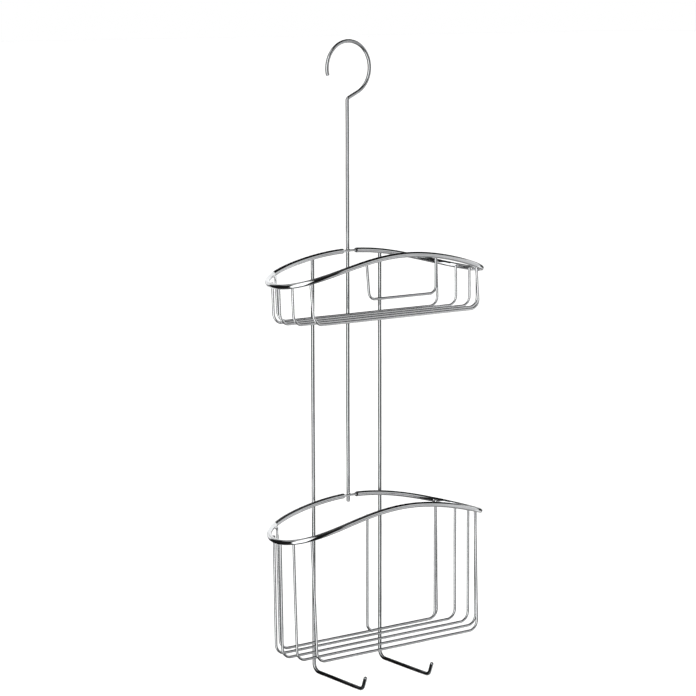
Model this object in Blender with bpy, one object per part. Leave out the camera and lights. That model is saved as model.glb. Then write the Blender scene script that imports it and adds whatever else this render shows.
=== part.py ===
"""Two-tier wire shower caddy that hangs from one round hook.

Metres, +Z up, +X along the wall to the right, +Y into the wall. The origin is the hook's seat:
the point inside the top of the hook that rests on what it hangs from.
"""

import math

import bpy
import numpy as np
from mathutils import Vector

MM = 0.001

# Wire sizes, as radii
RIM_RADIUS = 2.5 * MM
ROD_RADIUS = 1.8 * MM
WIRE_RADIUS = 1.3 * MM
NECK_RADIUS = 1.1 * MM

# Clearance left at every weld, so that touching wires stay separate solids
WELD_GAP = 0.4 * MM

# Top hook and hanger. The hook is bent a little to one side of the hanger's line, so everything
# below the hook is centred on CENTRE_X.
HOOK_OFFSET = 1.4 * MM
CENTRE_X = -HOOK_OFFSET
HOOK_RADIUS = 26.3 * MM
HOOK_LEAVE_ANGLE = math.radians(-65)
HOOK_TIP_ANGLE = math.radians(195)
HANGER_BEND_Z = -54.2 * MM
HANGER_BEND_RADIUS = 3.0 * MM
HANGER_TAIL = 7.5 * MM

# Side rails, which end as hooks under the lower basket
RAIL_X = 42.0 * MM
RAIL_Y = 2.0 * MM
ARM_Z = -624.6 * MM
ARM_LENGTH = 78.6 * MM
ARM_DROOP = 1.6 * MM
TIP_RISE = 13.6 * MM
TIP_LEAN = 5.1 * MM
RAIL_BEND_RADIUS = 8.0 * MM
TIP_BEND_RADIUS = 6.5 * MM

# Plan of both rims: |x / RIM_HALF_WIDTH|^5 + |y / RIM_HALF_DEPTH|^2 = 1
RIM_HALF_WIDTH = 122.5 * MM
RIM_HALF_DEPTH = 44.0 * MM
RIM_BACK_Y = RAIL_Y - ROD_RADIUS - RIM_RADIUS - WELD_GAP
RIM_CENTRE_Y = RIM_BACK_Y - RIM_HALF_DEPTH
RIM_POWER = 5
RIM_POINTS = 72

# Both rims are saddles: their ends are low, and the middles of front and back are high
FRONT_RISE = 25.5 * MM
BACK_RISE = 22.5 * MM
PARABOLA_SHARE = 0.8

# The rim is necked where it passes the hanger wire
NECK_HALF_LENGTH = 5.5 * MM
NECK_TAPER = 3.0 * MM
NECK_Y = -(ROD_RADIUS + WELD_GAP + NECK_RADIUS)

# U-wires, from the wall to the front: places along Y of their legs at the rim and at the floor.
# A leg's foot stands in from its top by the taper. The lower basket's two front left legs lean in more.
LEG_TOP_Y = [-16.5 * MM, -30.5 * MM, -46.5 * MM, -62.5 * MM, -75.5 * MM]
LEG_FOOT_Y = [-19.5 * MM, -32.0 * MM, -48.0 * MM, -64.0 * MM, -80.5 * MM]
LEG_INSET = RIM_RADIUS + WIRE_RADIUS + WELD_GAP
LEG_TAPER = 0.7 * MM
UPPER_LEFT_LEG_TAPER = [0.7 * MM, 0.7 * MM, 0.7 * MM, 0.7 * MM, 0.7 * MM]
LOWER_LEFT_LEG_TAPER = [0.7 * MM, 0.7 * MM, 0.7 * MM, 2.7 * MM, 2.7 * MM]
LEG_ABOVE_RIM_AXIS = 0.5 * MM
FLOOR_BEND_RADIUS = 10.0 * MM

# Front guards: place of the right leg, and of the left leg at the rim and at its foot
GUARD_RIGHT_X = 41.6 * MM
UPPER_GUARD_LEFT_X = [-44.0 * MM, -40.5 * MM]
LOWER_GUARD_LEFT_X = [-43.6 * MM, -43.6 * MM]
GUARD_BEND_RADIUS = 7.5 * MM

# Baskets: height of the rim's ends, then drops from there. A floor rises towards the front.
UPPER_RIM_Z = -225.9 * MM
UPPER_FLOOR_DROP = 38.5 * MM
UPPER_FLOOR_RISE = 3.0 * MM
UPPER_GUARD_DROP = 15.0 * MM
LOWER_RIM_Z = -471.9 * MM
LOWER_FLOOR_DROP = 116.5 * MM
LOWER_FLOOR_RISE = 0.0
LOWER_GUARD_DROP = 93.5 * MM

CHROME_COLOUR = (0.72, 0.74, 0.76, 1.0)
CHROME_ROUGHNESS = 0.08
ARC_STEP = math.radians(15)
HOOK_STEPS = 34


def clear_scene():
    for obj in list(bpy.data.objects):
        bpy.data.objects.remove(obj)


def chrome_material(name):
    material = bpy.data.materials.new(name + "_chrome")
    material.use_nodes = True
    shader = material.node_tree.nodes["Principled BSDF"]
    shader.inputs["Base Color"].default_value = CHROME_COLOUR
    shader.inputs["Metallic"].default_value = 1.0
    shader.inputs["Roughness"].default_value = CHROME_ROUGHNESS
    return material


def rounded_path(corners, radii):
    """Points along straight runs between the corners, with an arc of the given radius at each inner corner."""
    corners = [Vector(corner) for corner in corners]
    points = [corners[0]]
    for before, corner, after, radius in zip(corners, corners[1:], corners[2:], radii):
        into = (corner - before).normalized()
        out = (after - corner).normalized()
        turn = into.angle(out)
        setback = radius * math.tan(turn / 2)
        start = corner - into * setback
        side = (out - into * into.dot(out)).normalized()
        steps = max(2, math.ceil(turn / ARC_STEP))
        for step in range(steps + 1):
            angle = turn * step / steps
            points.append(start + into * radius * math.sin(angle) + side * radius * (1 - math.cos(angle)))
    points.append(corners[-1])
    return points


def add_wire(name, points, radius, parent, collection, thickness=None):
    """A round wire along the points. A thickness list makes it a closed loop that varies in section."""
    curve = bpy.data.curves.new(name, "CURVE")
    curve.dimensions = "3D"
    curve.bevel_depth = radius
    curve.bevel_resolution = 2
    curve.use_fill_caps = thickness is None
    spline = curve.splines.new("POLY")
    spline.points.add(len(points) - 1)
    spline.use_smooth = True
    spline.use_cyclic_u = thickness is not None
    for index, (spline_point, place) in enumerate(zip(spline.points, points)):
        spline_point.co = (*place, 1.0)
        if thickness:
            spline_point.radius = thickness[index]
    wire = bpy.data.objects.new(name, curve)
    wire.parent = parent
    collection.objects.link(wire)
    curve.materials.append(chrome_material(name))
    return wire


def add_empty(name, place, collection):
    empty = bpy.data.objects.new(name, None)
    empty.location = place
    collection.objects.link(empty)
    return empty


def plan_point(phi):
    """A point of the rim's plan about its own centre. phi is 0 at +X and a quarter turn at the wall side."""
    depth = math.sqrt(max(0.0, 1 - abs(math.cos(phi)) ** RIM_POWER))
    return Vector((RIM_HALF_WIDTH * math.cos(phi), math.copysign(RIM_HALF_DEPTH * depth, math.sin(phi))))


def saddle_height(phi):
    """Height of the rim's axis above its two ends."""
    across = math.cos(phi)
    parabola = 1 - across * across
    wave = (1 + math.cos(math.pi * across)) / 2
    rise = BACK_RISE if math.sin(phi) > 0 else FRONT_RISE
    return rise * (PARABOLA_SHARE * parabola + (1 - PARABOLA_SHARE) * wave)


def inset_point(phi):
    """The place of a leg that is welded to the inside of the rim at phi."""
    nudge = 1e-4
    along = plan_point(phi + nudge) - plan_point(phi - nudge)
    inward = Vector((-along.y, along.x)).normalized()
    return plan_point(phi) + inward * LEG_INSET


def rim_angle_at(depth):
    """phi of the leg on the +X side whose distance from the rim's centre line, along Y, is the depth."""
    low, high = -math.pi / 2 + 0.01, math.pi / 2 - 0.01
    for _ in range(60):
        middle = (low + high) / 2
        if inset_point(middle).y < depth:
            low = middle
        else:
            high = middle
    return (low + high) / 2


def neck_share(x, on_back):
    """1 on the necked stretch of the rim, 0 on the full one, and between them on the tapers."""
    if not on_back:
        return 0.0
    beyond = (abs(x) - NECK_HALF_LENGTH) / NECK_TAPER
    return 1 - min(1.0, max(0.0, beyond))


def add_rim(tier, parent, collection):
    angles = list(np.arange(RIM_POINTS) * 2 * math.pi / RIM_POINTS)
    centre = math.pi / 2
    edges = [NECK_HALF_LENGTH, NECK_HALF_LENGTH + NECK_TAPER / 2, NECK_HALF_LENGTH + NECK_TAPER]
    near_neck = 1.5 * edges[-1] / RIM_HALF_WIDTH
    angles = [angle for angle in angles if abs(angle - centre) > near_neck]
    for x in [-edge for edge in reversed(edges)] + [0.0] + edges:
        angles.append(math.acos(x / RIM_HALF_WIDTH))
    points, thickness = [], []
    for phi in sorted(angles):
        plan = plan_point(phi)
        necked = neck_share(plan.x, math.sin(phi) > 0)
        y = (RIM_CENTRE_Y + plan.y) * (1 - necked) + NECK_Y * necked
        points.append((plan.x, y, saddle_height(phi)))
        thickness.append(1 + (NECK_RADIUS / RIM_RADIUS - 1) * necked)
    add_wire(tier + "_rim", points, RIM_RADIUS, parent, collection, thickness)


def add_floor_wire(tier, number, left_taper, floor_drop, floor_rise, parent, collection):
    """One U-wire: down from the inside of the rim, across under the basket, and up to the rim again."""
    top_y, foot_y = LEG_TOP_Y[number], LEG_FOOT_Y[number]
    phi = rim_angle_at(top_y - RIM_CENTRE_Y)
    top_x = inset_point(phi).x
    top_z = saddle_height(phi) + LEG_ABOVE_RIM_AXIS
    left_foot_x = -top_x + left_taper[number]
    right_foot_x = top_x - LEG_TAPER
    foot_z = -floor_drop + floor_rise * number / (len(LEG_TOP_Y) - 1)
    corners = [
        (-top_x, top_y, top_z),
        (left_foot_x, foot_y, foot_z),
        (right_foot_x, foot_y, foot_z),
        (top_x, top_y, top_z),
    ]
    path = rounded_path(corners, [FLOOR_BEND_RADIUS, FLOOR_BEND_RADIUS])
    add_wire(f"{tier}_floor_wire_{number + 1}", path, WIRE_RADIUS, parent, collection)


def add_guard(tier, left_x, guard_drop, parent, collection):
    """The shallow U that hangs inside the front of the rim and keeps bottles from tipping out."""
    phi = -math.acos(GUARD_RIGHT_X / RIM_HALF_WIDTH)
    top = plan_point(phi)
    y = RIM_CENTRE_Y + top.y + LEG_INSET
    top_z = saddle_height(phi) + LEG_ABOVE_RIM_AXIS
    corners = [
        (left_x[0], y, top_z),
        (left_x[1], y, -guard_drop),
        (GUARD_RIGHT_X, y, -guard_drop),
        (GUARD_RIGHT_X, y, top_z),
    ]
    path = rounded_path(corners, [GUARD_BEND_RADIUS, GUARD_BEND_RADIUS])
    add_wire(tier + "_front_guard", path, WIRE_RADIUS, parent, collection)


def add_basket(tier, rim_z, left_taper, floor_drop, floor_rise, guard_left_x, guard_drop, collection):
    frame = add_empty(tier + "_basket", (CENTRE_X, 0.0, rim_z), collection)
    add_rim(tier, frame, collection)
    for number in range(len(LEG_TOP_Y)):
        add_floor_wire(tier, number, left_taper, floor_drop, floor_rise, frame, collection)
    add_guard(tier, guard_left_x, guard_drop, frame, collection)


def add_hanger(collection):
    """The centre wire: up behind both rims, a short slanted neck, and the round hook over the top."""
    centre_z = ROD_RADIUS - HOOK_RADIUS
    tail_z = LOWER_RIM_Z + BACK_RISE - HANGER_TAIL
    angles = np.linspace(HOOK_LEAVE_ANGLE, HOOK_TIP_ANGLE, HOOK_STEPS + 1)
    hook = [
        (HOOK_RADIUS * math.cos(angle), 0.0, centre_z + HOOK_RADIUS * math.sin(angle))
        for angle in angles
    ]
    corners = [(CENTRE_X, 0.0, tail_z), (CENTRE_X, 0.0, HANGER_BEND_Z), hook[0]]
    path = rounded_path(corners, [HANGER_BEND_RADIUS])
    add_wire("hanger_wire", path[:-1] + hook, ROD_RADIUS, None, collection)


def add_rail(side_name, side, collection):
    """A side rail: from behind the upper rim down past the lower basket, then forward as an open hook."""
    x = CENTRE_X + side * RAIL_X
    phi = math.acos(RAIL_X / RIM_HALF_WIDTH)
    top_z = UPPER_RIM_Z + saddle_height(phi) + LEG_ABOVE_RIM_AXIS
    arm_y = RAIL_Y - ARM_LENGTH
    arm_z = ARM_Z - ARM_DROOP
    corners = [
        (x, RAIL_Y, top_z),
        (x, RAIL_Y, ARM_Z),
        (x, arm_y, arm_z),
        (x, arm_y - TIP_LEAN, arm_z + TIP_RISE),
    ]
    path = rounded_path(corners, [RAIL_BEND_RADIUS, TIP_BEND_RADIUS])
    add_wire(side_name + "_rail", path, ROD_RADIUS, None, collection)


def main():
    clear_scene()
    collection = bpy.data.collections.new("shower_caddy")
    bpy.context.scene.collection.children.link(collection)
    add_hanger(collection)
    add_rail("left", -1, collection)
    add_rail("right", 1, collection)
    upper_floor = (UPPER_LEFT_LEG_TAPER, UPPER_FLOOR_DROP, UPPER_FLOOR_RISE)
    lower_floor = (LOWER_LEFT_LEG_TAPER, LOWER_FLOOR_DROP, LOWER_FLOOR_RISE)
    add_basket("upper", UPPER_RIM_Z, *upper_floor, UPPER_GUARD_LEFT_X, UPPER_GUARD_DROP, collection)
    add_basket("lower", LOWER_RIM_Z, *lower_floor, LOWER_GUARD_LEFT_X, LOWER_GUARD_DROP, collection)


main()
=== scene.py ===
"""The looks of the two-tier wire shower caddy: chrome wires, weld beads, studio and camera.

Metres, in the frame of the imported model: +Z up, +X along the wall to the right, +Y into the wall.
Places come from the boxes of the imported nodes. The wire sizes and bends are the same as there.
"""

import math
import random

import bmesh
import bpy
import numpy as np
from mathutils import Euler, Matrix, Vector


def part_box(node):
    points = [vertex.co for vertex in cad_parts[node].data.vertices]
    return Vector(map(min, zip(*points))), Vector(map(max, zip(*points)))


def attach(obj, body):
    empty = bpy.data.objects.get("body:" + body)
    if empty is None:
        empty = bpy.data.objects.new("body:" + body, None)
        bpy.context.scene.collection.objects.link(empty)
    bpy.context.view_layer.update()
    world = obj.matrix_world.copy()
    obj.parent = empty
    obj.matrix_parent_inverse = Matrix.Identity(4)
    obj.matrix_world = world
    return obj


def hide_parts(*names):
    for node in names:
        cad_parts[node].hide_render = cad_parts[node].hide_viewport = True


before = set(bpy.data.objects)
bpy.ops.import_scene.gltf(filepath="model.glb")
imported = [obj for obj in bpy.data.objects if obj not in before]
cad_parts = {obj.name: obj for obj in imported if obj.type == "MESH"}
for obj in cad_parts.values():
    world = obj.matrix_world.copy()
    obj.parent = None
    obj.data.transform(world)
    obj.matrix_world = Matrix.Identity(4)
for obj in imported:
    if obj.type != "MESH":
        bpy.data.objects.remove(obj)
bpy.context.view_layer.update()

MM = 0.001

# Wire radii
RIM_RADIUS = 2.5 * MM
ROD_RADIUS = 1.8 * MM
WIRE_RADIUS = 1.3 * MM
NECK_RADIUS = 1.1 * MM

# Top hook and hanger
HOOK_LEAVE_ANGLE = math.radians(-65)
HOOK_TIP_ANGLE = math.radians(195)
HANGER_BEND_Z = -54.2 * MM
HANGER_BEND_RADIUS = 3.0 * MM

# Hooks at the lower ends of the rails
ARM_DROOP = 1.6 * MM
TIP_RISE = 13.6 * MM
TIP_LEAN = 5.1 * MM
RAIL_BEND_RADIUS = 8.0 * MM
TIP_BEND_RADIUS = 6.5 * MM

# Rims: |x / half width|^5 + |y / half depth|^2 = 1 in plan, and a saddle in height
RIM_HALF_DEPTH = 44.0 * MM
RIM_POWER = 5
BACK_TO_FRONT_RISE = 22.5 / 25.5
PARABOLA_SHARE = 0.8
NECK_HALF_LENGTH = 5.5 * MM
NECK_TAPER = 3.0 * MM
NECK_Y = -3.3 * MM

# U-wires and guards. A leg's foot stands in from its top by the taper, and a few lean in by more
LEG_TAPER = 0.7 * MM
LEFT_LEG_TAPERS = {"lower_floor_wire_4": 2.7 * MM, "lower_floor_wire_5": 2.7 * MM}
FLOOR_BEND_RADIUS = 10.0 * MM
GUARD_BEND_RADIUS = 7.5 * MM
GUARD_LEFT_LEANS = {"upper_front_guard": 3.5 * MM, "lower_front_guard": 0.0}
FLOOR_WIRE_COUNT = 5

# Fineness of the swept meshes, and how far a wire's cut ends are rounded
ARC_STEP = math.radians(4)
LEAST_ARC_STEPS = 3
RUN_STEP = 6.0 * MM
RIM_STEPS = 400
NECK_STEPS = 60
WIRE_SIDES = 24
RIM_SIDES = 32
END_RINGS = 6
END_ROUNDING = 0.45
TIP_ROUNDING = 0.8

# Bent and welded wire is never quite straight
WANDER = 0.10 * MM
WANDER_LENGTHS = (0.31, 0.17, 0.083)

# Weld beads: how far the metal of two wires flows together, and how far a bead can reach
WELD_BLEND = 2.2 * MM
WELD_SINK = 0.04 * MM
WELD_REACH = 3.4 * MM
WELD_SUBDIVISIONS = 4
WELD_STEPS = 48
LEAST_CHANGE = 1e-9

# Ripples on the beads, as waves over the directions from a bead's centre
RIPPLE_WAVES = 5
RIPPLE_HEIGHT = 0.72 * MM
RIPPLE_FREQUENCY = 3.2
RIPPLE_PHASES = (0, 6)

# Where two wires meet: the stretch of them that is looked at, and how finely
WELD_LOCAL = 12.0 * MM
MOST_DRAWN_IN = 0.95
CONTACT_ROUNDS = 40
CONTACT_POINTS = 12

# Platings: a bright and a dull tint, the polish as a roughness, and how scuffed. Haze and mottle
# between the two tints
# # are the plating's own tone. It is all one chrome, so the level of the tints from part to part is
# painted shade
# # and painted light: darkest on the rods, lightest on the upper floor wires
PLATINGS_WITH_PAINTED_SHADE = {
    "rim": ((0.70, 0.71, 0.72, 1), (0.62, 0.63, 0.64, 1), 0.035, 0.5),
    "rod": ((0.53, 0.54, 0.55, 1), (0.45, 0.46, 0.47, 1), 0.045, 0.6),
    "upper_floor": ((0.79, 0.80, 0.81, 1), (0.70, 0.71, 0.72, 1), 0.060, 0.8),
    "lower_floor": ((0.67, 0.68, 0.69, 1), (0.57, 0.58, 0.59, 1), 0.060, 1.0),
    "guard": ((0.60, 0.61, 0.62, 1), (0.51, 0.52, 0.53, 1), 0.050, 0.8),
}

# How fine the plating's lines, haze, mottle, water marks and scratches are
LINE_SCALE = (60.0, 45.0, 1.0)
HAZE_SCALE = 38.0
MOTTLE_SCALE = 420.0
MARK_SCALE = 170.0
SCRATCH_TURN = (0.5, 0.3, 0.9)
SCRATCH_SCALE = (90.0, 900.0, 900.0)

# How rough they make it: the haziest place and the lines as times the polish, the others as such
HAZE_ROUGHNESS = 2.2
LINE_ROUGHNESS = 0.6
MARK_ROUGHNESS = 0.10
SCRATCH_ROUGHNESS = 0.12
PLATING_BUMP = 0.014
PLATING_BUMP_DISTANCE = 0.0004

# Plating over a weld: grain fine and broad, and the roughness from least to most
WELD_TINTS = ((0.60, 0.60, 0.60, 1.0), (0.72, 0.73, 0.74, 1.0))
WELD_GRAIN_SCALE = 1400.0
WELD_BROAD_SCALE = 260.0
WELD_ROUGHNESS = (0.12, 0.28)
WELD_BUMP = 0.25
WELD_BUMP_DISTANCE = 0.0002

# Camera, from the left front and a little above
CAMERA_PLACE = (-1.46881, -1.901462, 0.052114)
CAMERA_AZIMUTH = math.radians(-37.661)
CAMERA_ELEVATION = math.radians(8.368)
CAMERA_ROLL = math.radians(-0.147)
CAMERA_LENS = 126.32
SENSOR_WIDTH = 36.0

# Floor: it lies below the caddy, which hangs free
FLOOR_Z = -0.98
FLOOR_HALF_WIDTH = 40.0
FLOOR_TINTS = ((0.90, 0.90, 0.90, 1), (0.93, 0.93, 0.93, 1))
FLOOR_MOTTLE_SCALE = 3.0
FLOOR_ROUGHNESS = 0.9
FLOOR_SPECULAR = 0.1

# Sun: wide and soft, aimed at the studio's centre from the left front. Azimuth 0 is +Y, 90 is +X
STUDIO_CENTRE = Vector((0.0, -0.04, -0.3))
SUN_AZIMUTH = 228
SUN_DISTANCE = 3.4
SUN_Z = 3.0
SUN_STRENGTH = 4.4
SUN_ANGLE = math.radians(75)

# Reflected surroundings: a tone all round, and patches laid over it in this order. Each has its
# azimuths, elevations, tone and softness, with angles in degrees
HALF_TURN = 180.0
SKY_TONE = 0.78
SKY_PATCHES = {
    "far_ground": ((-180, 180), (-95, -42), 0.42, 12),
    "near_ground": ((-180, 180), (-95, -60), 0.14, 12),
    "zenith": ((-180, 180), (66, 95), 0.10, 10),
    "right_front_wall": ((95, 165), (-45, 38), 0.76, 6),
    "right_back_window": ((-14, 95), (-42, 28), 1.15, 8),
    "ground_back": ((28, 62), (-46, -22), 0.08, 6),
    "low_canopy_right": ((28, 78), (9, 30), 0.04, 6),
    "dark_canopy_right": ((35, 128), (28, 75), 0.0, 8),
    "dark_canopy_back": ((-15, 45), (38, 75), 0.03, 8),
    "dark_canopy_front": ((122, 168), (34, 75), 0.03, 6),
    "right_strip": ((64, 90), (-24, 8), 0.02, 6),
    "dark_front": ((166, 213), (-58, 64), 0.01, 8),
    "left_front_window": ((213, 264), (-60, 64), 2.0, 5),
    "dark_front_high": ((166, 234), (34, 72), 0.02, 8),
    "dark_left": ((266, 342), (-58, 45), 0.015, 5),
    "high_left": ((262, 345), (45, 66), 0.6, 8),
    "back_left_strip": ((338, 362), (-18, -1), 0.1, 4),
    "front_strip": ((140, 168), (-18, 1), 0.12, 6),
    "behind": ((14, 43), (-17, 6), 0.35, 6),
}

# Black cards close behind and below the towel hooks, seen only in reflections
CARD_TONE = 0.01
CARD_MOTTLE_SCALE = 9.0
CARD_MOTTLE_DEPTH = 0.95
BACK_CARD_X = (-0.26, 0.20)
BACK_CARD_Y = 0.09
BACK_CARD_Z = (-0.76, -0.51)
LOW_CARD_X = (-0.20, 0.01)
LOW_CARD_Y = (-0.26, -0.09)
LOW_CARD_Z = -0.70

# Small white cards across the left end of each basket, also seen only in reflections
GLOW_INSET = 0.0264
GLOW_Y = (-0.03, 0.03)
GLOW_RISE = (0.0, 0.034)
GLOW_TONE = 1.3

TIERS = ("upper", "lower")
rng = random.Random(7)


# ---------------------------------------------------------------- paths

def rounded_path(corners, radii):
    """Straight runs between the corners, with an arc of the given radius at each inner corner."""
    corners = [Vector(corner) for corner in corners]
    points = [corners[0]]
    for before, corner, after, radius in zip(corners, corners[1:], corners[2:], radii):
        into = (corner - before).normalized()
        out = (after - corner).normalized()
        turn = into.angle(out)
        start = corner - into * radius * math.tan(turn / 2)
        side = (out - into * into.dot(out)).normalized()
        steps = max(LEAST_ARC_STEPS, math.ceil(turn / ARC_STEP))
        for step in range(steps + 1):
            angle = turn * step / steps
            forward = into * radius * math.sin(angle)
            points.append(start + forward + side * radius * (1 - math.cos(angle)))
    points.append(corners[-1])
    return points


def divided(points):
    """The same path with no straight run longer than RUN_STEP."""
    out = [points[0]]
    for before, after in zip(points, points[1:]):
        pieces = max(1, math.ceil((after - before).length / RUN_STEP))
        out += [before.lerp(after, piece / pieces) for piece in range(1, pieces + 1)]
    return out


def wandering(points):
    """The path bent very slightly out of true, by a few long waves along each axis."""
    phases = [[rng.uniform(0, 2 * math.pi) for _ in WANDER_LENGTHS] for _ in range(3)]
    travelled, out = 0.0, []
    for index, point in enumerate(points):
        if index:
            travelled += (point - points[index - 1]).length
        turns = [2 * math.pi * travelled / length for length in WANDER_LENGTHS]
        shift = [sum(math.sin(turn + phase) for turn, phase in zip(turns, axis)) for axis in phases]
        out.append(point + Vector(shift) * WANDER / len(WANDER_LENGTHS))
    return out


def hanger_path():
    low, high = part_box("hanger_wire")
    rim_low, rim_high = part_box("upper_rim")
    stem_x = (rim_low.x + rim_high.x) / 2
    radius = -low.x - ROD_RADIUS
    centre_z = ROD_RADIUS - radius
    steps = math.ceil((HOOK_TIP_ANGLE - HOOK_LEAVE_ANGLE) / ARC_STEP)
    angles = np.linspace(HOOK_LEAVE_ANGLE, HOOK_TIP_ANGLE, steps + 1)
    hook = [Vector((radius * math.cos(a), 0.0, centre_z + radius * math.sin(a))) for a in angles]
    corners = [(stem_x, 0.0, low.z), (stem_x, 0.0, HANGER_BEND_Z), hook[0]]
    return rounded_path(corners, [HANGER_BEND_RADIUS])[:-1] + hook


def rail_path(node):
    low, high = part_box(node)
    x = (low.x + high.x) / 2
    back_y = high.y - ROD_RADIUS
    arm_end_y = low.y + ROD_RADIUS + TIP_LEAN
    arm_end_z = low.z + ROD_RADIUS
    corners = [
        (x, back_y, high.z),
        (x, back_y, arm_end_z + ARM_DROOP),
        (x, arm_end_y, arm_end_z),
        (x, arm_end_y - TIP_LEAN, arm_end_z + TIP_RISE),
    ]
    return rounded_path(corners, [RAIL_BEND_RADIUS, TIP_BEND_RADIUS])


def floor_wire_path(node):
    low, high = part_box(node)
    centre_x = (low.x + high.x) / 2
    top_x = (high.x - low.x) / 2 - WIRE_RADIUS
    left_foot_x = centre_x - top_x + LEFT_LEG_TAPERS.get(node, LEG_TAPER)
    right_foot_x = centre_x + top_x - LEG_TAPER
    top_y, foot_y = high.y - WIRE_RADIUS, low.y + WIRE_RADIUS
    foot_z = low.z + WIRE_RADIUS
    corners = [
        (centre_x - top_x, top_y, high.z),
        (left_foot_x, foot_y, foot_z),
        (right_foot_x, foot_y, foot_z),
        (centre_x + top_x, top_y, high.z),
    ]
    return rounded_path(corners, [FLOOR_BEND_RADIUS, FLOOR_BEND_RADIUS])


def guard_path(node):
    low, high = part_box(node)
    y = (low.y + high.y) / 2
    left, right = low.x + WIRE_RADIUS, high.x - WIRE_RADIUS
    foot = left + GUARD_LEFT_LEANS[node]
    bottom = low.z + WIRE_RADIUS
    corners = [(left, y, high.z), (foot, y, bottom), (right, y, bottom), (right, y, high.z)]
    return rounded_path(corners, [GUARD_BEND_RADIUS, GUARD_BEND_RADIUS])


def smooth(share):
    """Eases from 0 to 1, and stays at 0 below and at 1 above."""
    share = min(1.0, max(0.0, share))
    return share * share * (3 - 2 * share)


def rim_path(node):
    """Points round the rim and the radius at each. It narrows to a neck where the stem passes."""
    low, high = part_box(node)
    centre = (low + high) / 2
    half_width = (high.x - low.x) / 2 - RIM_RADIUS
    end_z = low.z + RIM_RADIUS
    front_rise = high.z - RIM_RADIUS - end_z
    points, radii = [], []
    for phi in rim_angles(half_width):
        across, along = math.cos(phi), math.sin(phi)
        depth = math.sqrt(max(0.0, 1 - abs(across) ** RIM_POWER))
        x = half_width * across
        y = centre.y + math.copysign(RIM_HALF_DEPTH * depth, along)
        rise = front_rise * (BACK_TO_FRONT_RISE if along > 0 else 1.0)
        parabola = 1 - across * across
        wave = (1 + math.cos(math.pi * across)) / 2
        z = end_z + rise * (PARABOLA_SHARE * parabola + (1 - PARABOLA_SHARE) * wave)
        necked = smooth(1 - (abs(x) - NECK_HALF_LENGTH) / NECK_TAPER) if along > 0 else 0.0
        points.append(Vector((centre.x + x, y * (1 - necked) + NECK_Y * necked, z)))
        radii.append(RIM_RADIUS + (NECK_RADIUS - RIM_RADIUS) * necked)
    return points, radii


def rim_angles(half_width):
    """Even steps in phi, and finer ones over the neck and its tapers."""
    near_neck = (NECK_HALF_LENGTH + 2 * NECK_TAPER) / half_width
    even = [2 * math.pi * step / RIM_STEPS for step in range(RIM_STEPS)]
    coarse = [phi for phi in even if abs(phi - math.pi / 2) > near_neck]
    fine = list(np.linspace(math.pi / 2 - near_neck, math.pi / 2 + near_neck, NECK_STEPS + 1))
    return sorted(coarse + fine)


# ---------------------------------------------------------------- meshes

def frames_along(points, closed):
    """A tangent and two normals at each point, turned as little as they can be on the way."""
    count = len(points)
    tangents = []
    for index in range(count):
        before = points[index - 1] if index or closed else points[0]
        after = points[(index + 1) % count] if index < count - 1 or closed else points[-1]
        tangents.append((after - before).normalized())
    normal = tangents[0].orthogonal().normalized()
    frames = []
    for index, tangent in enumerate(tangents):
        if index:
            normal = tangents[index - 1].rotation_difference(tangent) @ normal
        normal = (normal - tangent * normal.dot(tangent)).normalized()
        frames.append((tangent, normal, tangent.cross(normal)))
    return frames


def sections(points, radii, closed, rounding):
    """Centre, radius and frame of each ring. An open wire gets rounded ends, within its length."""
    rings = list(zip(points, radii, frames_along(points, closed)))
    if closed:
        return rings
    for end, inward in ((0, 1), (-1, -1)):
        point, radius, trihedron = rings[end]
        depth = radius * rounding
        caps = []
        for ring in range(END_RINGS + 1):
            angle = math.pi / 2 * ring / END_RINGS
            centre = point + trihedron[0] * inward * depth * (1 - math.cos(angle))
            inner = radius * (1 - rounding) if rounding < 1 else 0.0
            caps.append((centre, inner + (radius - inner) * math.sin(angle), trihedron))
        rings = caps + rings[1:] if end == 0 else rings[:-1] + caps[::-1]
    return rings


def swept(name, points, radii, sides, closed=False, rounding=END_ROUNDING):
    """A smooth wire as a mesh, with a UV map: once round the wire, and metres along it.

    A ring of radius 0 is a single vertex, the middle of a wire's end.
    """
    rings = sections(points, radii, closed, rounding)
    if not closed:
        rings = [(rings[0][0], 0.0, rings[0][2])] + rings + [(rings[-1][0], 0.0, rings[-1][2])]
    turns = [2 * math.pi * side / sides for side in range(sides)]
    vertices, along = [], []
    travelled = 0.0
    for index, (centre, radius, (_, normal, binormal)) in enumerate(rings):
        if index:
            travelled += (centre - rings[index - 1][0]).length
        along.append(travelled)
        if radius == 0.0:
            vertices.append(centre)
            continue
        for turn in turns:
            outward = normal * math.cos(turn) + binormal * math.sin(turn)
            vertices.append(centre + outward * radius)
    faces, uvs = [], []
    starts = [0]
    for _, radius, _ in rings:
        starts.append(starts[-1] + (1 if radius == 0.0 else sides))
    along.append(travelled + (rings[0][0] - rings[-1][0]).length)
    last = len(rings) if closed else len(rings) - 1
    for index in range(last):
        here, there = starts[index], starts[(index + 1) % len(rings)]
        low, high = along[index], along[index + 1]
        for side in range(sides):
            beside = (side + 1) % sides
            left, right = side / sides, (side + 1) / sides
            if rings[index][1] == 0.0:
                faces.append((here, there + beside, there + side))
                uvs += [((left + right) / 2, low), (right, high), (left, high)]
            elif rings[(index + 1) % len(rings)][1] == 0.0:
                faces.append((here + side, here + beside, there))
                uvs += [(left, low), (right, low), ((left + right) / 2, high)]
            else:
                faces.append((here + side, here + beside, there + beside, there + side))
                uvs += [(left, low), (right, low), (right, high), (left, high)]
    return mesh_object(name, vertices, faces, uvs)


def mesh_object(name, vertices, faces, uvs=None):
    mesh = bpy.data.meshes.new(name)
    mesh.from_pydata(vertices, [], faces)
    if uvs:
        layer = mesh.uv_layers.new(name="UVMap")
        layer.data.foreach_set("uv", [value for uv in uvs for value in uv])
    mesh.shade_smooth()
    mesh.validate()
    piece = bpy.data.objects.new(name, mesh)
    bpy.context.scene.collection.objects.link(piece)
    return piece


# ---------------------------------------------------------------- welds

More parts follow.
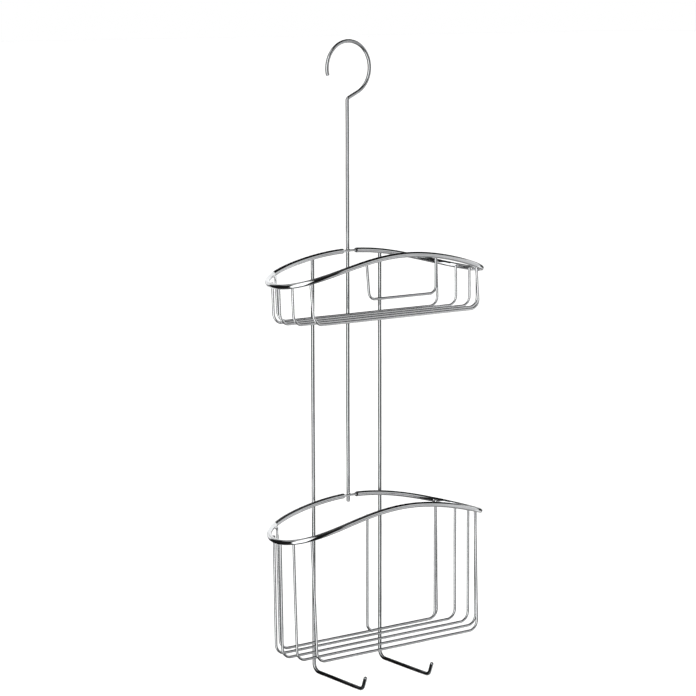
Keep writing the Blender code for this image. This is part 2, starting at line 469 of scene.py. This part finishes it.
def wire_distance(places, points, radii):
    """Distance from each place to the surface of the wire, below zero inside it."""
    starts, ends = points[:-1], points[1:]
    spans = ends - starts
    lengths = (spans ** 2).sum(1)
    offsets = places[:, None, :] - starts[None]
    shares = np.clip((offsets * spans[None]).sum(2) / lengths[None], 0, 1)
    feet = starts[None] + shares[..., None] * spans[None]
    gaps = np.sqrt(((places[:, None, :] - feet) ** 2).sum(2))
    return (gaps - (radii[:-1][None] * (1 - shares) + radii[1:][None] * shares)).min(1)


def near(wire, place):
    """The stretch of a wire's path round a place. An open end is drawn in by the wire's radius."""
    points, radii = np.array(wire[0]), np.array(wire[1])
    if not np.allclose(points[0], points[-1]):
        for end, beside in ((0, 1), (-1, -2)):
            along = points[beside] - points[end]
            points[end] += along * min(MOST_DRAWN_IN, radii[end] / np.linalg.norm(along))
    close = np.flatnonzero(((points - place) ** 2).sum(1) < WELD_LOCAL ** 2)
    first, last = max(close[0] - 1, 0), min(close[-1] + 2, len(points))
    return points[first:last], radii[first:last]


def dense(points):
    """The same path with CONTACT_POINTS on each of its straight runs."""
    runs = zip(points, points[1:])
    return np.concatenate([np.linspace(start, end, CONTACT_POINTS) for start, end in runs])


def nearest(points, place):
    """The point that lies nearest to a place."""
    return points[((points - place) ** 2).sum(1).argmin()]


def contact(wire_a, wire_b, guess):
    """The middle of the narrow gap between two wires, near a guess."""
    a_points, a_radii = near(wire_a, guess)
    b_points, b_radii = near(wire_b, guess)
    a_dense, b_dense = dense(a_points), dense(b_points)
    middle = np.array(guess, float)
    for _ in range(CONTACT_ROUNDS):
        on_a = nearest(a_dense, middle)
        on_b = nearest(b_dense, on_a)
        middle = (on_a + on_b) / 2
        on_b = nearest(b_dense, middle)
        on_a = nearest(a_dense, on_b)
        middle = (on_a + on_b) / 2
    distance = np.linalg.norm(on_a - on_b)
    toward_a = (on_a - on_b) / distance
    halfway = (on_b + toward_a * distance / 2)[None]
    a_gap = wire_distance(halfway, a_points, a_radii)[0]
    b_gap = wire_distance(halfway, b_points, b_radii)[0]
    return on_b + toward_a * (distance / 2 + (a_gap - b_gap) / 2)


def ball_directions():
    """Directions spread evenly over a ball, and the triangles between them."""
    ball = bpy.data.meshes.new("ball")
    shape = bmesh.new()
    bmesh.ops.create_icosphere(shape, subdivisions=WELD_SUBDIVISIONS, radius=1.0)
    shape.to_mesh(ball)
    shape.free()
    directions = np.array([vertex.co[:] for vertex in ball.vertices])
    directions /= np.linalg.norm(directions, axis=1)[:, None]
    triangles = [tuple(polygon.vertices) for polygon in ball.polygons]
    bpy.data.meshes.remove(ball)
    return directions, triangles


def rippled(directions, seed):
    """A small height for each direction, up and down round 0."""
    waves = random.Random(seed)
    heights = 0.0
    for _ in range(RIPPLE_WAVES):
        across = np.array([waves.gauss(0, 1) for _ in range(3)])
        phase = waves.uniform(*RIPPLE_PHASES)
        heights = heights + np.sin(directions @ across * RIPPLE_FREQUENCY + phase)
    return heights / RIPPLE_WAVES * RIPPLE_HEIGHT


def bead(wire_a, wire_b, guess, seed):
    """The metal round one weld: where two wires flow together, pushed out from their contact."""
    centre = contact(wire_a, wire_b, guess)
    a_points, a_radii = near(wire_a, centre)
    b_points, b_radii = near(wire_b, centre)
    directions, triangles = ball_directions()
    blend_width = WELD_BLEND + rippled(directions, seed)
    reach = np.full(len(directions), WELD_REACH)
    still_open = np.ones(len(directions), bool)
    earlier = None
    for step in range(1, WELD_STEPS + 1):
        radius = WELD_REACH * step / WELD_STEPS
        places = centre + directions * radius
        to_a = wire_distance(places, a_points, a_radii) + WELD_SINK
        to_b = wire_distance(places, b_points, b_radii) + WELD_SINK
        share = np.clip(0.5 + 0.5 * (to_b - to_a) / WELD_BLEND, 0, 1)
        field = to_b * (1 - share) + to_a * share - blend_width * (share * (1 - share))
        if earlier is None:
            earlier = field
        crossed = still_open & (field > 0)
        over = np.where(crossed, field / np.maximum(field - earlier, LEAST_CHANGE), 0)
        reach[crossed] = (radius - over * WELD_REACH / WELD_STEPS)[crossed]
        still_open &= ~crossed
        earlier = field
    return centre + directions * reach[:, None], triangles


def weld_piece(name, joints):
    """All the beads of one group as one piece. Each joint is (wire, wire, place)."""
    vertices, faces = [], []
    for wire_a, wire_b, guess in joints:
        places, triangles = bead(wire_a, wire_b, guess, rng.random())
        faces += [tuple(index + len(vertices) for index in triangle) for triangle in triangles]
        vertices += [tuple(place) for place in places]
    return mesh_object(name, vertices, faces)


# ---------------------------------------------------------------- materials

def new_tree(name):
    material = bpy.data.materials.new(name)
    material.use_nodes = True
    return material.node_tree


class Nodes:
    """A node tree with a short way to add a node and link it."""

    def __init__(self, tree):
        self.tree = tree
        self.shader = tree.nodes.get("Principled BSDF")

    def add(self, kind, settings=(), **inputs):
        node = self.tree.nodes.new("ShaderNode" + kind)
        for key, value in dict(settings).items():
            setattr(node, key, value)
        for key, value in inputs.items():
            socket = node.inputs[self.socket_key(key)]
            if isinstance(value, bpy.types.NodeSocket):
                self.tree.links.new(value, socket)
            else:
                socket.default_value = value
        return node

    @staticmethod
    def socket_key(key):
        """i6 stands for socket number 6, and From_Min for the socket named From Min."""
        numbered = key[0] == "i" and key[1:].isdigit()
        return int(key[1:]) if numbered else key.replace("_", " ")

    def noise(self, vector, scale, detail=3.0, roughness=0.55):
        node = self.add("TexNoise", Vector=vector, Scale=scale, Detail=detail, Roughness=roughness)
        return node.outputs["Fac"]

    def ramp(self, value, low, high, to_low=0.0, to_high=1.0):
        node = self.add(
            "MapRange", [("interpolation_type", "SMOOTHSTEP")],
            Value=value, From_Min=low, From_Max=high, To_Min=to_low, To_Max=to_high,
        )
        return node.outputs["Result"]

    def math(self, operation, *values):
        inputs = {f"i{index}": value for index, value in enumerate(values)}
        return self.add("Math", [("operation", operation)], **inputs).outputs[0]

    def mix(self, factor, first, second):
        node = self.add("Mix", [("data_type", "RGBA")], i0=factor, i6=first, i7=second)
        return node.outputs[2]

    def link(self, socket, name):
        self.tree.links.new(socket, self.shader.inputs[name])

    def bump(self, height, strength, distance):
        node = self.add("Bump", Strength=strength, Distance=distance, Height=height)
        self.link(node.outputs["Normal"], "Normal")


def chrome(name, bright, dull, polish, scuffs):
    """Polished plating: fine drawing lines along the wire, faint haze, water marks and scuffs. The
    level of its two tints, set per part, is painted shade.
    """
    nodes = Nodes(new_tree(name))
    place = nodes.add("TexCoord").outputs["Object"]
    wrap = nodes.add("UVMap", [("uv_map", "UVMap")]).outputs["UV"]
    lines_at = nodes.add("Mapping", i0=wrap, Scale=LINE_SCALE).outputs[0]
    lines = nodes.noise(lines_at, 1.0, 4.0, 0.6)
    haze = nodes.noise(place, HAZE_SCALE, 4.0)
    mottle = nodes.noise(place, MOTTLE_SCALE)

    spots = nodes.add("TexVoronoi", Vector=place, Scale=MARK_SCALE, Randomness=1.0)
    spot = spots.outputs["Distance"]
    rings = nodes.math("MULTIPLY", nodes.ramp(spot, 0.10, 0.16), nodes.ramp(spot, 0.26, 0.18))
    marks = nodes.math("MULTIPLY", rings, nodes.ramp(haze, 0.52, 0.62))
    scratch_at = nodes.add("Mapping", i0=place, Rotation=SCRATCH_TURN, Scale=SCRATCH_SCALE)
    scratches = nodes.noise(scratch_at.outputs[0], 1.0, 2.0)
    scuffed = nodes.math("MULTIPLY", nodes.ramp(scratches, 0.64, 0.70), scuffs)

    tone = nodes.math("ADD", nodes.math("MULTIPLY", haze, 0.6), nodes.math("MULTIPLY", mottle, 0.4))
    # Base colour: haze and mottle between the part's two tints, whose level per part is painted
    # shade and light
    nodes.link(nodes.mix(nodes.ramp(tone, 0.35, 0.65), dull, bright), "Base Color")

    rough = nodes.ramp(haze, 0.3, 0.7, polish, polish * HAZE_ROUGHNESS)
    rough = nodes.math("ADD", rough, nodes.math("MULTIPLY", lines, polish * LINE_ROUGHNESS))
    rough = nodes.math("ADD", rough, nodes.math("MULTIPLY", marks, MARK_ROUGHNESS))
    rough = nodes.math("ADD", rough, nodes.math("MULTIPLY", scuffed, SCRATCH_ROUGHNESS))
    nodes.link(rough, "Roughness")

    height = nodes.math("MULTIPLY", mottle, 0.4)
    height = nodes.math("ADD", nodes.math("MULTIPLY", lines, 0.6), height)
    height = nodes.math("SUBTRACT", height, nodes.math("MULTIPLY", scuffed, 0.5))
    nodes.bump(height, PLATING_BUMP, PLATING_BUMP_DISTANCE)
    nodes.shader.inputs["Metallic"].default_value = 1.0
    return bpy.data.materials[name]


def weld_chrome(name):
    """Plating over a weld: pitted, hazier and a little darker than on the drawn wire."""
    nodes = Nodes(new_tree(name))
    place = nodes.add("TexCoord").outputs["Object"]
    grain = nodes.noise(place, WELD_GRAIN_SCALE, 4.0, 0.6)
    broad = nodes.noise(place, WELD_BROAD_SCALE, 2.0)
    nodes.link(nodes.mix(nodes.ramp(broad, 0.35, 0.65), *WELD_TINTS), "Base Color")
    nodes.link(nodes.ramp(grain, 0.3, 0.7, *WELD_ROUGHNESS), "Roughness")
    nodes.bump(grain, WELD_BUMP, WELD_BUMP_DISTANCE)
    nodes.shader.inputs["Metallic"].default_value = 1.0
    return bpy.data.materials[name]


# ---------------------------------------------------------------- the caddy

def finish_piece(piece, material, *nodes):
    """Plates a piece, sets it on the body, and lets it stand for the CAD nodes that are named."""
    piece.data.materials.append(material)
    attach(piece, "root")
    if nodes:
        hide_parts(*nodes)


def add_wire(node, points, radius, material, rounding=END_ROUNDING):
    """One open wire that stands for its CAD node. Returns its path and radii, for the welds."""
    points = wandering(divided(points))
    radii = [radius] * len(points)
    piece = swept(node + "_chrome", points, radii, WIRE_SIDES, rounding=rounding)
    finish_piece(piece, material, node)
    return [tuple(point) for point in points], radii


def add_rim(node, material):
    points, radii = rim_path(node)
    piece = swept(node + "_chrome", points, radii, RIM_SIDES, closed=True)
    finish_piece(piece, material, node)
    return [tuple(point) for point in points + points[:1]], radii + radii[:1]


def add_basket(tier, materials):
    """One basket's wires, and the welds between them. Returns the rim's path."""
    rim = add_rim(tier + "_rim", materials["rim"])
    joints = []
    for number in range(1, FLOOR_WIRE_COUNT + 1):
        node = f"{tier}_floor_wire_{number}"
        wire = add_wire(node, floor_wire_path(node), WIRE_RADIUS, materials[tier + "_floor"])
        joints += [(rim, wire, wire[0][0]), (rim, wire, wire[0][-1])]
    node = tier + "_front_guard"
    guard = add_wire(node, guard_path(node), WIRE_RADIUS, materials["guard"])
    joints += [(rim, guard, guard[0][0]), (rim, guard, guard[0][-1])]
    finish_piece(weld_piece(tier + "_basket_welds", joints), materials["weld"])
    return rim


def crossing(rim, wire):
    """The place where a wire that runs down behind a rim passes it, as a start for the weld."""
    rim_points, wire_points = np.array(rim[0]), np.array(wire[0])
    gaps = ((rim_points[:, None] - wire_points[None]) ** 2).sum(2)
    first, second = np.unravel_index(gaps.argmin(), gaps.shape)
    return (rim_points[first] + wire_points[second]) / 2


def add_caddy():
    # One plating per part, all the same chrome; their tints differ only as painted shade and light
    materials = {name: chrome(name + "_plating", *look) for name, look in PLATINGS_WITH_PAINTED_SHADE.items()}
    materials["weld"] = weld_chrome("weld_plating")
    hanger = add_wire("hanger_wire", hanger_path(), ROD_RADIUS, materials["rod"])
    rails = [
        add_wire(node, rail_path(node), ROD_RADIUS, materials["rod"], TIP_ROUNDING)
        for node in ("left_rail", "right_rail")
    ]
    rims = [add_basket(tier, materials) for tier in TIERS]
    joints = [(rim, wire, crossing(rim, wire)) for rim in rims for wire in [hanger] + rails]
    finish_piece(weld_piece("stem_and_rail_welds", joints), materials["weld"])


# ---------------------------------------------------------------- studio

class Sky:
    """The world's light by direction: soft-edged patches, each laid over the ones before it."""

    def __init__(self, tree, tone):
        self.nodes = Nodes(tree)
        direction = self.nodes.add("TexCoord").outputs["Generated"]
        x, y, z = self.nodes.add("SeparateXYZ", Vector=direction).outputs
        self.azimuth = self.nodes.math("DEGREES", self.nodes.math("ARCTAN2", x, y))
        self.elevation = self.nodes.math("DEGREES", self.nodes.math("ARCSINE", z))
        self.tone = tone

    def inside(self, offset, half, softness):
        """1 within half of the patch's middle, 0 beyond it, and eased over the soft edge."""
        away = self.nodes.math("ABSOLUTE", offset)
        return self.nodes.ramp(away, half + softness / 2, half - softness / 2)

    def lay(self, azimuths, elevations, tone, softness):
        west, east = azimuths
        low, high = elevations
        turned = self.nodes.math("SUBTRACT", self.azimuth, (west + east) / 2)
        turned = self.nodes.math("WRAP", turned, HALF_TURN, -HALF_TURN)
        raised = self.nodes.math("SUBTRACT", self.elevation, (low + high) / 2)
        across = self.inside(turned, (east - west) / 2, softness)
        upward = self.inside(raised, (high - low) / 2, softness)
        share = self.nodes.math("MULTIPLY", across, upward)
        change = self.nodes.math("MULTIPLY", self.nodes.math("SUBTRACT", tone, self.tone), share)
        self.tone = self.nodes.math("ADD", self.tone, change)


def compass(azimuth, distance, z):
    """A place round the studio's centre. Azimuth 0 is the wall side, +Y, and 90 is +X."""
    angle = math.radians(azimuth)
    x = STUDIO_CENTRE.x + distance * math.sin(angle)
    y = STUDIO_CENTRE.y + distance * math.cos(angle)
    return (x, y, z)


def add_floor():
    nodes = Nodes(new_tree("studio_floor"))
    place = nodes.add("TexCoord").outputs["Object"]
    nodes.link(nodes.mix(nodes.noise(place, FLOOR_MOTTLE_SCALE), *FLOOR_TINTS), "Base Color")
    nodes.shader.inputs["Roughness"].default_value = FLOOR_ROUGHNESS
    nodes.shader.inputs["Specular IOR Level"].default_value = FLOOR_SPECULAR
    half = FLOOR_HALF_WIDTH
    plan = [(-half, -half), (half, -half), (half, half), (-half, half)]
    corners = [(x, y, FLOOR_Z) for x, y in plan]
    floor = mesh_object("floor", corners, [(0, 1, 2, 3)])
    floor.data.materials.append(bpy.data.materials["studio_floor"])
    floor.visible_glossy = False
    floor.visible_shadow = False


def reflected_card(name, corners, tone):
    """A flat card, black or glowing, that only reflections see."""
    card = mesh_object(name, corners, [(0, 1, 2, 3)])
    nodes = Nodes(new_tree(name))
    place = nodes.add("TexCoord").outputs["Object"]
    dim = tone * CARD_MOTTLE_DEPTH
    mottle = nodes.noise(place, CARD_MOTTLE_SCALE)
    glow = nodes.mix(mottle, (dim, dim, dim, 1), (tone, tone, tone, 1))
    nodes.link(glow, "Emission Color")
    nodes.shader.inputs["Base Color"].default_value = (0.0, 0.0, 0.0, 1.0)
    nodes.shader.inputs["Emission Strength"].default_value = 1.0
    nodes.shader.inputs["Roughness"].default_value = 1.0
    nodes.shader.inputs["Specular IOR Level"].default_value = 0.0
    card.data.materials.append(bpy.data.materials[name])
    card.visible_camera = False
    card.visible_diffuse = False
    card.visible_shadow = False


def add_cards():
    """Black cards behind and below the towel hooks, and a white one inside each rim's left end."""
    (left, right), y, (low, high) = BACK_CARD_X, BACK_CARD_Y, BACK_CARD_Z
    corners = [(left, y, low), (right, y, low), (right, y, high), (left, y, high)]
    reflected_card("hook_back_card", corners, CARD_TONE)
    (left, right), (front, back), z = LOW_CARD_X, LOW_CARD_Y, LOW_CARD_Z
    corners = [(left, front, z), (right, front, z), (right, back, z), (left, back, z)]
    reflected_card("hook_low_card", corners, CARD_TONE)
    for tier in TIERS:
        rim_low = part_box(tier + "_rim")[0]
        x = rim_low.x + GLOW_INSET
        near_y, far_y = GLOW_Y
        low, high = (rim_low.z + rise for rise in GLOW_RISE)
        corners = [(x, far_y, low), (x, near_y, low), (x, near_y, high), (x, far_y, high)]
        reflected_card(tier + "_end_glow", corners, GLOW_TONE)


def add_sun():
    lamp = bpy.data.lights.new("studio_sun", "SUN")
    lamp.energy = SUN_STRENGTH
    lamp.angle = SUN_ANGLE
    sun = bpy.data.objects.new("studio_sun", lamp)
    sun.location = compass(SUN_AZIMUTH, SUN_DISTANCE, SUN_Z)
    sun.rotation_euler = (STUDIO_CENTRE - sun.location).to_track_quat("-Z", "Y").to_euler()
    sun.visible_glossy = False
    bpy.context.scene.collection.objects.link(sun)


def add_world():
    """Plain white behind the object. Everything else sees the patches, which shape the chrome."""
    world = bpy.data.worlds.new("studio")
    bpy.context.scene.world = world
    world.use_nodes = True
    tree = world.node_tree
    sky = Sky(tree, SKY_TONE)
    for azimuths, elevations, tone, softness in SKY_PATCHES.values():
        sky.lay(azimuths, elevations, tone, softness)
    seen = sky.nodes.add("LightPath").outputs["Is Camera Ray"]
    shown = sky.nodes.add("Mix", i0=seen, i2=sky.tone, i3=1.0).outputs[0]
    tree.links.new(shown, tree.nodes["Background"].inputs["Strength"])
    tree.nodes["Background"].inputs["Color"].default_value = (1.0, 1.0, 1.0, 1.0)


def add_studio():
    add_world()
    add_floor()
    add_cards()
    add_sun()


def add_camera():
    camera = bpy.data.objects.new("camera", bpy.data.cameras.new("camera"))
    camera.data.lens = CAMERA_LENS
    camera.data.sensor_width = SENSOR_WIDTH
    aim = Euler((math.pi / 2 - CAMERA_ELEVATION, 0.0, CAMERA_AZIMUTH)).to_matrix()
    turn = (aim @ Matrix.Rotation(CAMERA_ROLL, 3, "Z")).to_4x4()
    camera.matrix_world = Matrix.Translation(CAMERA_PLACE) @ turn
    bpy.context.scene.collection.objects.link(camera)
    bpy.context.scene.camera = camera
    bpy.context.scene.view_settings.view_transform = "Standard"


add_camera()
add_caddy()
add_studio()
